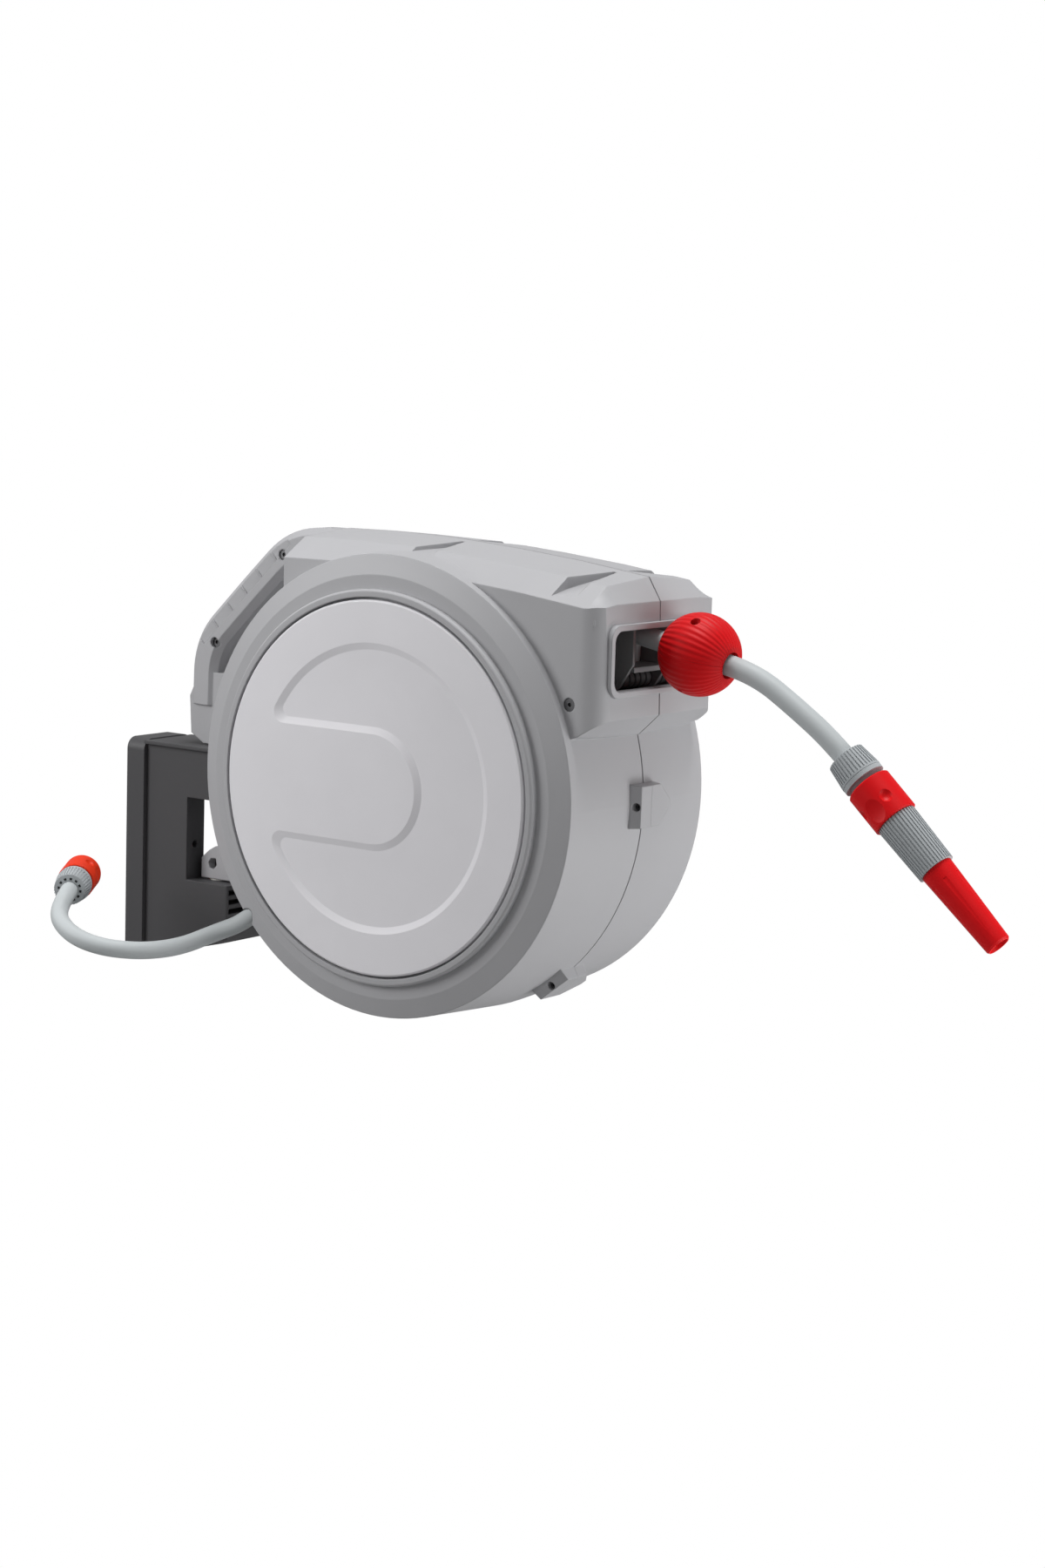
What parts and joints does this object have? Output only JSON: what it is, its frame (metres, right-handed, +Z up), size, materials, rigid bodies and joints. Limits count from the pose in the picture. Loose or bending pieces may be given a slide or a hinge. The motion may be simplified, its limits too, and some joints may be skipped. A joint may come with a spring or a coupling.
{
  "type": "retractable hose reel",
  "caption": "Wall-swivelling retractable hose reel: round closed case with handle, spring drum, level wind, stop ball, hose with nozzle and inlet hose",
  "frame": {"origin": "Centre of the wall plate's back face, on the wall, midway between the four wall screws.", "axes": "+X points out of the wall through the reel's middle plane, +Y along the drum's axle away from the near cover, +Z up."},
  "size_m": [0.846, 0.3047, 0.387],
  "materials": {
    "bracket_plastic": "fine moulded texture, dark grey",
    "case_plastic": "fine moulded texture, light grey",
    "cover_plastic": "fine moulded texture, light grey",
    "drum_plastic": "moulded, black",
    "gear_plastic": "moulded, natural white",
    "guide_plastic": "moulded, dark grey",
    "roller_plastic": "turned, grey",
    "washer_plastic": "smooth, low friction",
    "hose_pvc": "smooth soft hose, light grey",
    "red_plastic": "moulded, red, fine ribs",
    "fitting_plastic": "ribbed grip, mid grey",
    "sleeve_plastic": "moulded, red",
    "screw_steel": "zinc plated",
    "pin_steel": "drawn bar",
    "spring_steel": "blued strip",
    "spigot_brass": "turned",
    "seal_rubber": "moulded"
  },
  "bodies": {
    "wall_bracket": {"wall_plate": "bracket_plastic", "bracket_body": "bracket_plastic", "bracket_lock_screw": "screw_steel", "upper_swivel_pin": "pin_steel", "lower_swivel_pin": "pin_steel", "swivel_washers": "washer_plastic"},
    "reel_case": {"near_shell": "case_plastic", "far_shell": "case_plastic", "near_cover": "cover_plastic", "far_cover": "cover_plastic", "window_frame": "case_plastic", "case_screws": "screw_steel", "spindle": "pin_steel", "spring_arbor": "pin_steel", "inlet_elbow": "gear_plastic", "inlet_tail": "hose_pvc", "pawl_pin": "pin_steel", "idler_pin": "pin_steel", "screw_bushes": "washer_plastic", "guide_rod": "pin_steel", "inlet_hose": "hose_pvc", "inlet_nut": "fitting_plastic", "inlet_connector": "fitting_plastic"},
    "drum": {"drum_hub": "drum_plastic", "drum_flange_near": "drum_plastic", "drum_flange_far": "drum_plastic", "flange_screws": "screw_steel", "drum_bushes": "washer_plastic", "water_spigot": "spigot_brass", "swivel_seals": "seal_rubber", "wound_hose": "hose_pvc", "spring_case": "drum_plastic", "spring_case_cover": "drum_plastic", "mainspring": "spring_steel", "ratchet_ring": "gear_plastic", "drum_gear": "gear_plastic"},
    "ratchet_pawl": {"pawl": "gear_plastic"},
    "idler": {"idler_gear": "gear_plastic"},
    "level_screw": {"screw_gear": "gear_plastic", "reversing_screw": "gear_plastic"},
    "guide_carriage": {"hose_guide": "guide_plastic", "roller_pins": "pin_steel", "guided_hose": "hose_pvc", "ball_upper": "red_plastic", "ball_lower": "red_plastic", "ball_screws": "screw_steel", "outlet_hose": "hose_pvc", "outlet_nut": "fitting_plastic", "outlet_connector": "fitting_plastic"},
    "near_roller": {"guide_roller_near": "roller_plastic"},
    "far_roller": {"guide_roller_far": "roller_plastic"},
    "outlet_collar": {"outlet_sleeve": "sleeve_plastic"},
    "nozzle": {"nozzle_body": "fitting_plastic", "nozzle_seal": "seal_rubber"},
    "spray_tip": {"nozzle_tip": "sleeve_plastic"},
    "inlet_collar": {"inlet_sleeve": "sleeve_plastic"}
  },
  "joints": [
    {"name": "reel_swivel", "type": "hinge", "parent": "wall_bracket", "child": "reel_case", "pos_m": [0.086, 0, 0.05], "axis": [0, 0, 1], "range_deg": [-75, 75]},
    {"name": "drum_spin", "type": "hinge", "parent": "reel_case", "child": "drum", "pos_m": [0.333, 0, 0.094], "axis": [0, 1, 0], "continuous": true},
    {"name": "idler_spin", "type": "hinge", "parent": "reel_case", "child": "idler", "pos_m": [0.40925, 0, 0.15947], "axis": [0, 1, 0], "continuous": true},
    {"name": "screw_spin", "type": "hinge", "parent": "reel_case", "child": "level_screw", "pos_m": [0.505, 0, 0.19], "axis": [0, 1, 0], "continuous": true},
    {"name": "pawl_swing", "type": "hinge", "parent": "reel_case", "child": "ratchet_pawl", "pos_m": [0.333, 0, 0.022], "axis": [0, -1, 0], "range_deg": [0, 12], "stiffness_Nm_per_rad": 0.02, "springref_deg": -17.19},
    {"name": "guide_slide", "type": "slide", "parent": "reel_case", "child": "guide_carriage", "axis": [0, 1, 0], "range_m": [-0.043, 0.043]},
    {"name": "near_roller_spin", "type": "hinge", "parent": "guide_carriage", "child": "near_roller", "pos_m": [0.497, -0.01555, 0.215], "axis": [0, 0, 1], "continuous": true},
    {"name": "far_roller_spin", "type": "hinge", "parent": "guide_carriage", "child": "far_roller", "pos_m": [0.497, 0.01555, 0.215], "axis": [0, 0, 1], "continuous": true},
    {"name": "outlet_collar_slide", "type": "slide", "parent": "guide_carriage", "child": "outlet_collar", "axis": [-0.7374, 0, 0.6754], "range_m": [0, 0.0035], "stiffness_N_per_m": 600, "springref_m": -0.002},
    {"name": "nozzle_turn", "type": "hinge", "parent": "guide_carriage", "child": "nozzle", "pos_m": [0.76055, 0, 0.09717], "axis": [0.7374, 0, -0.6754], "continuous": true},
    {"name": "tip_twist", "type": "hinge", "parent": "nozzle", "child": "spray_tip", "pos_m": [0.79004, 0, 0.07016], "axis": [0.7374, 0, -0.6754], "range_deg": [0, 180]},
    {"name": "inlet_collar_slide", "type": "slide", "parent": "reel_case", "child": "inlet_collar", "axis": [0.5355, -0.839, -0.0964], "range_m": [0, 0.003], "stiffness_N_per_m": 600, "springref_m": -0.002}
  ],
  "couplings": [
    {"joint": "idler_spin", "follows": "drum_spin", "ratio": -0.21818},
    {"joint": "screw_spin", "follows": "drum_spin", "ratio": 1}
  ]
}
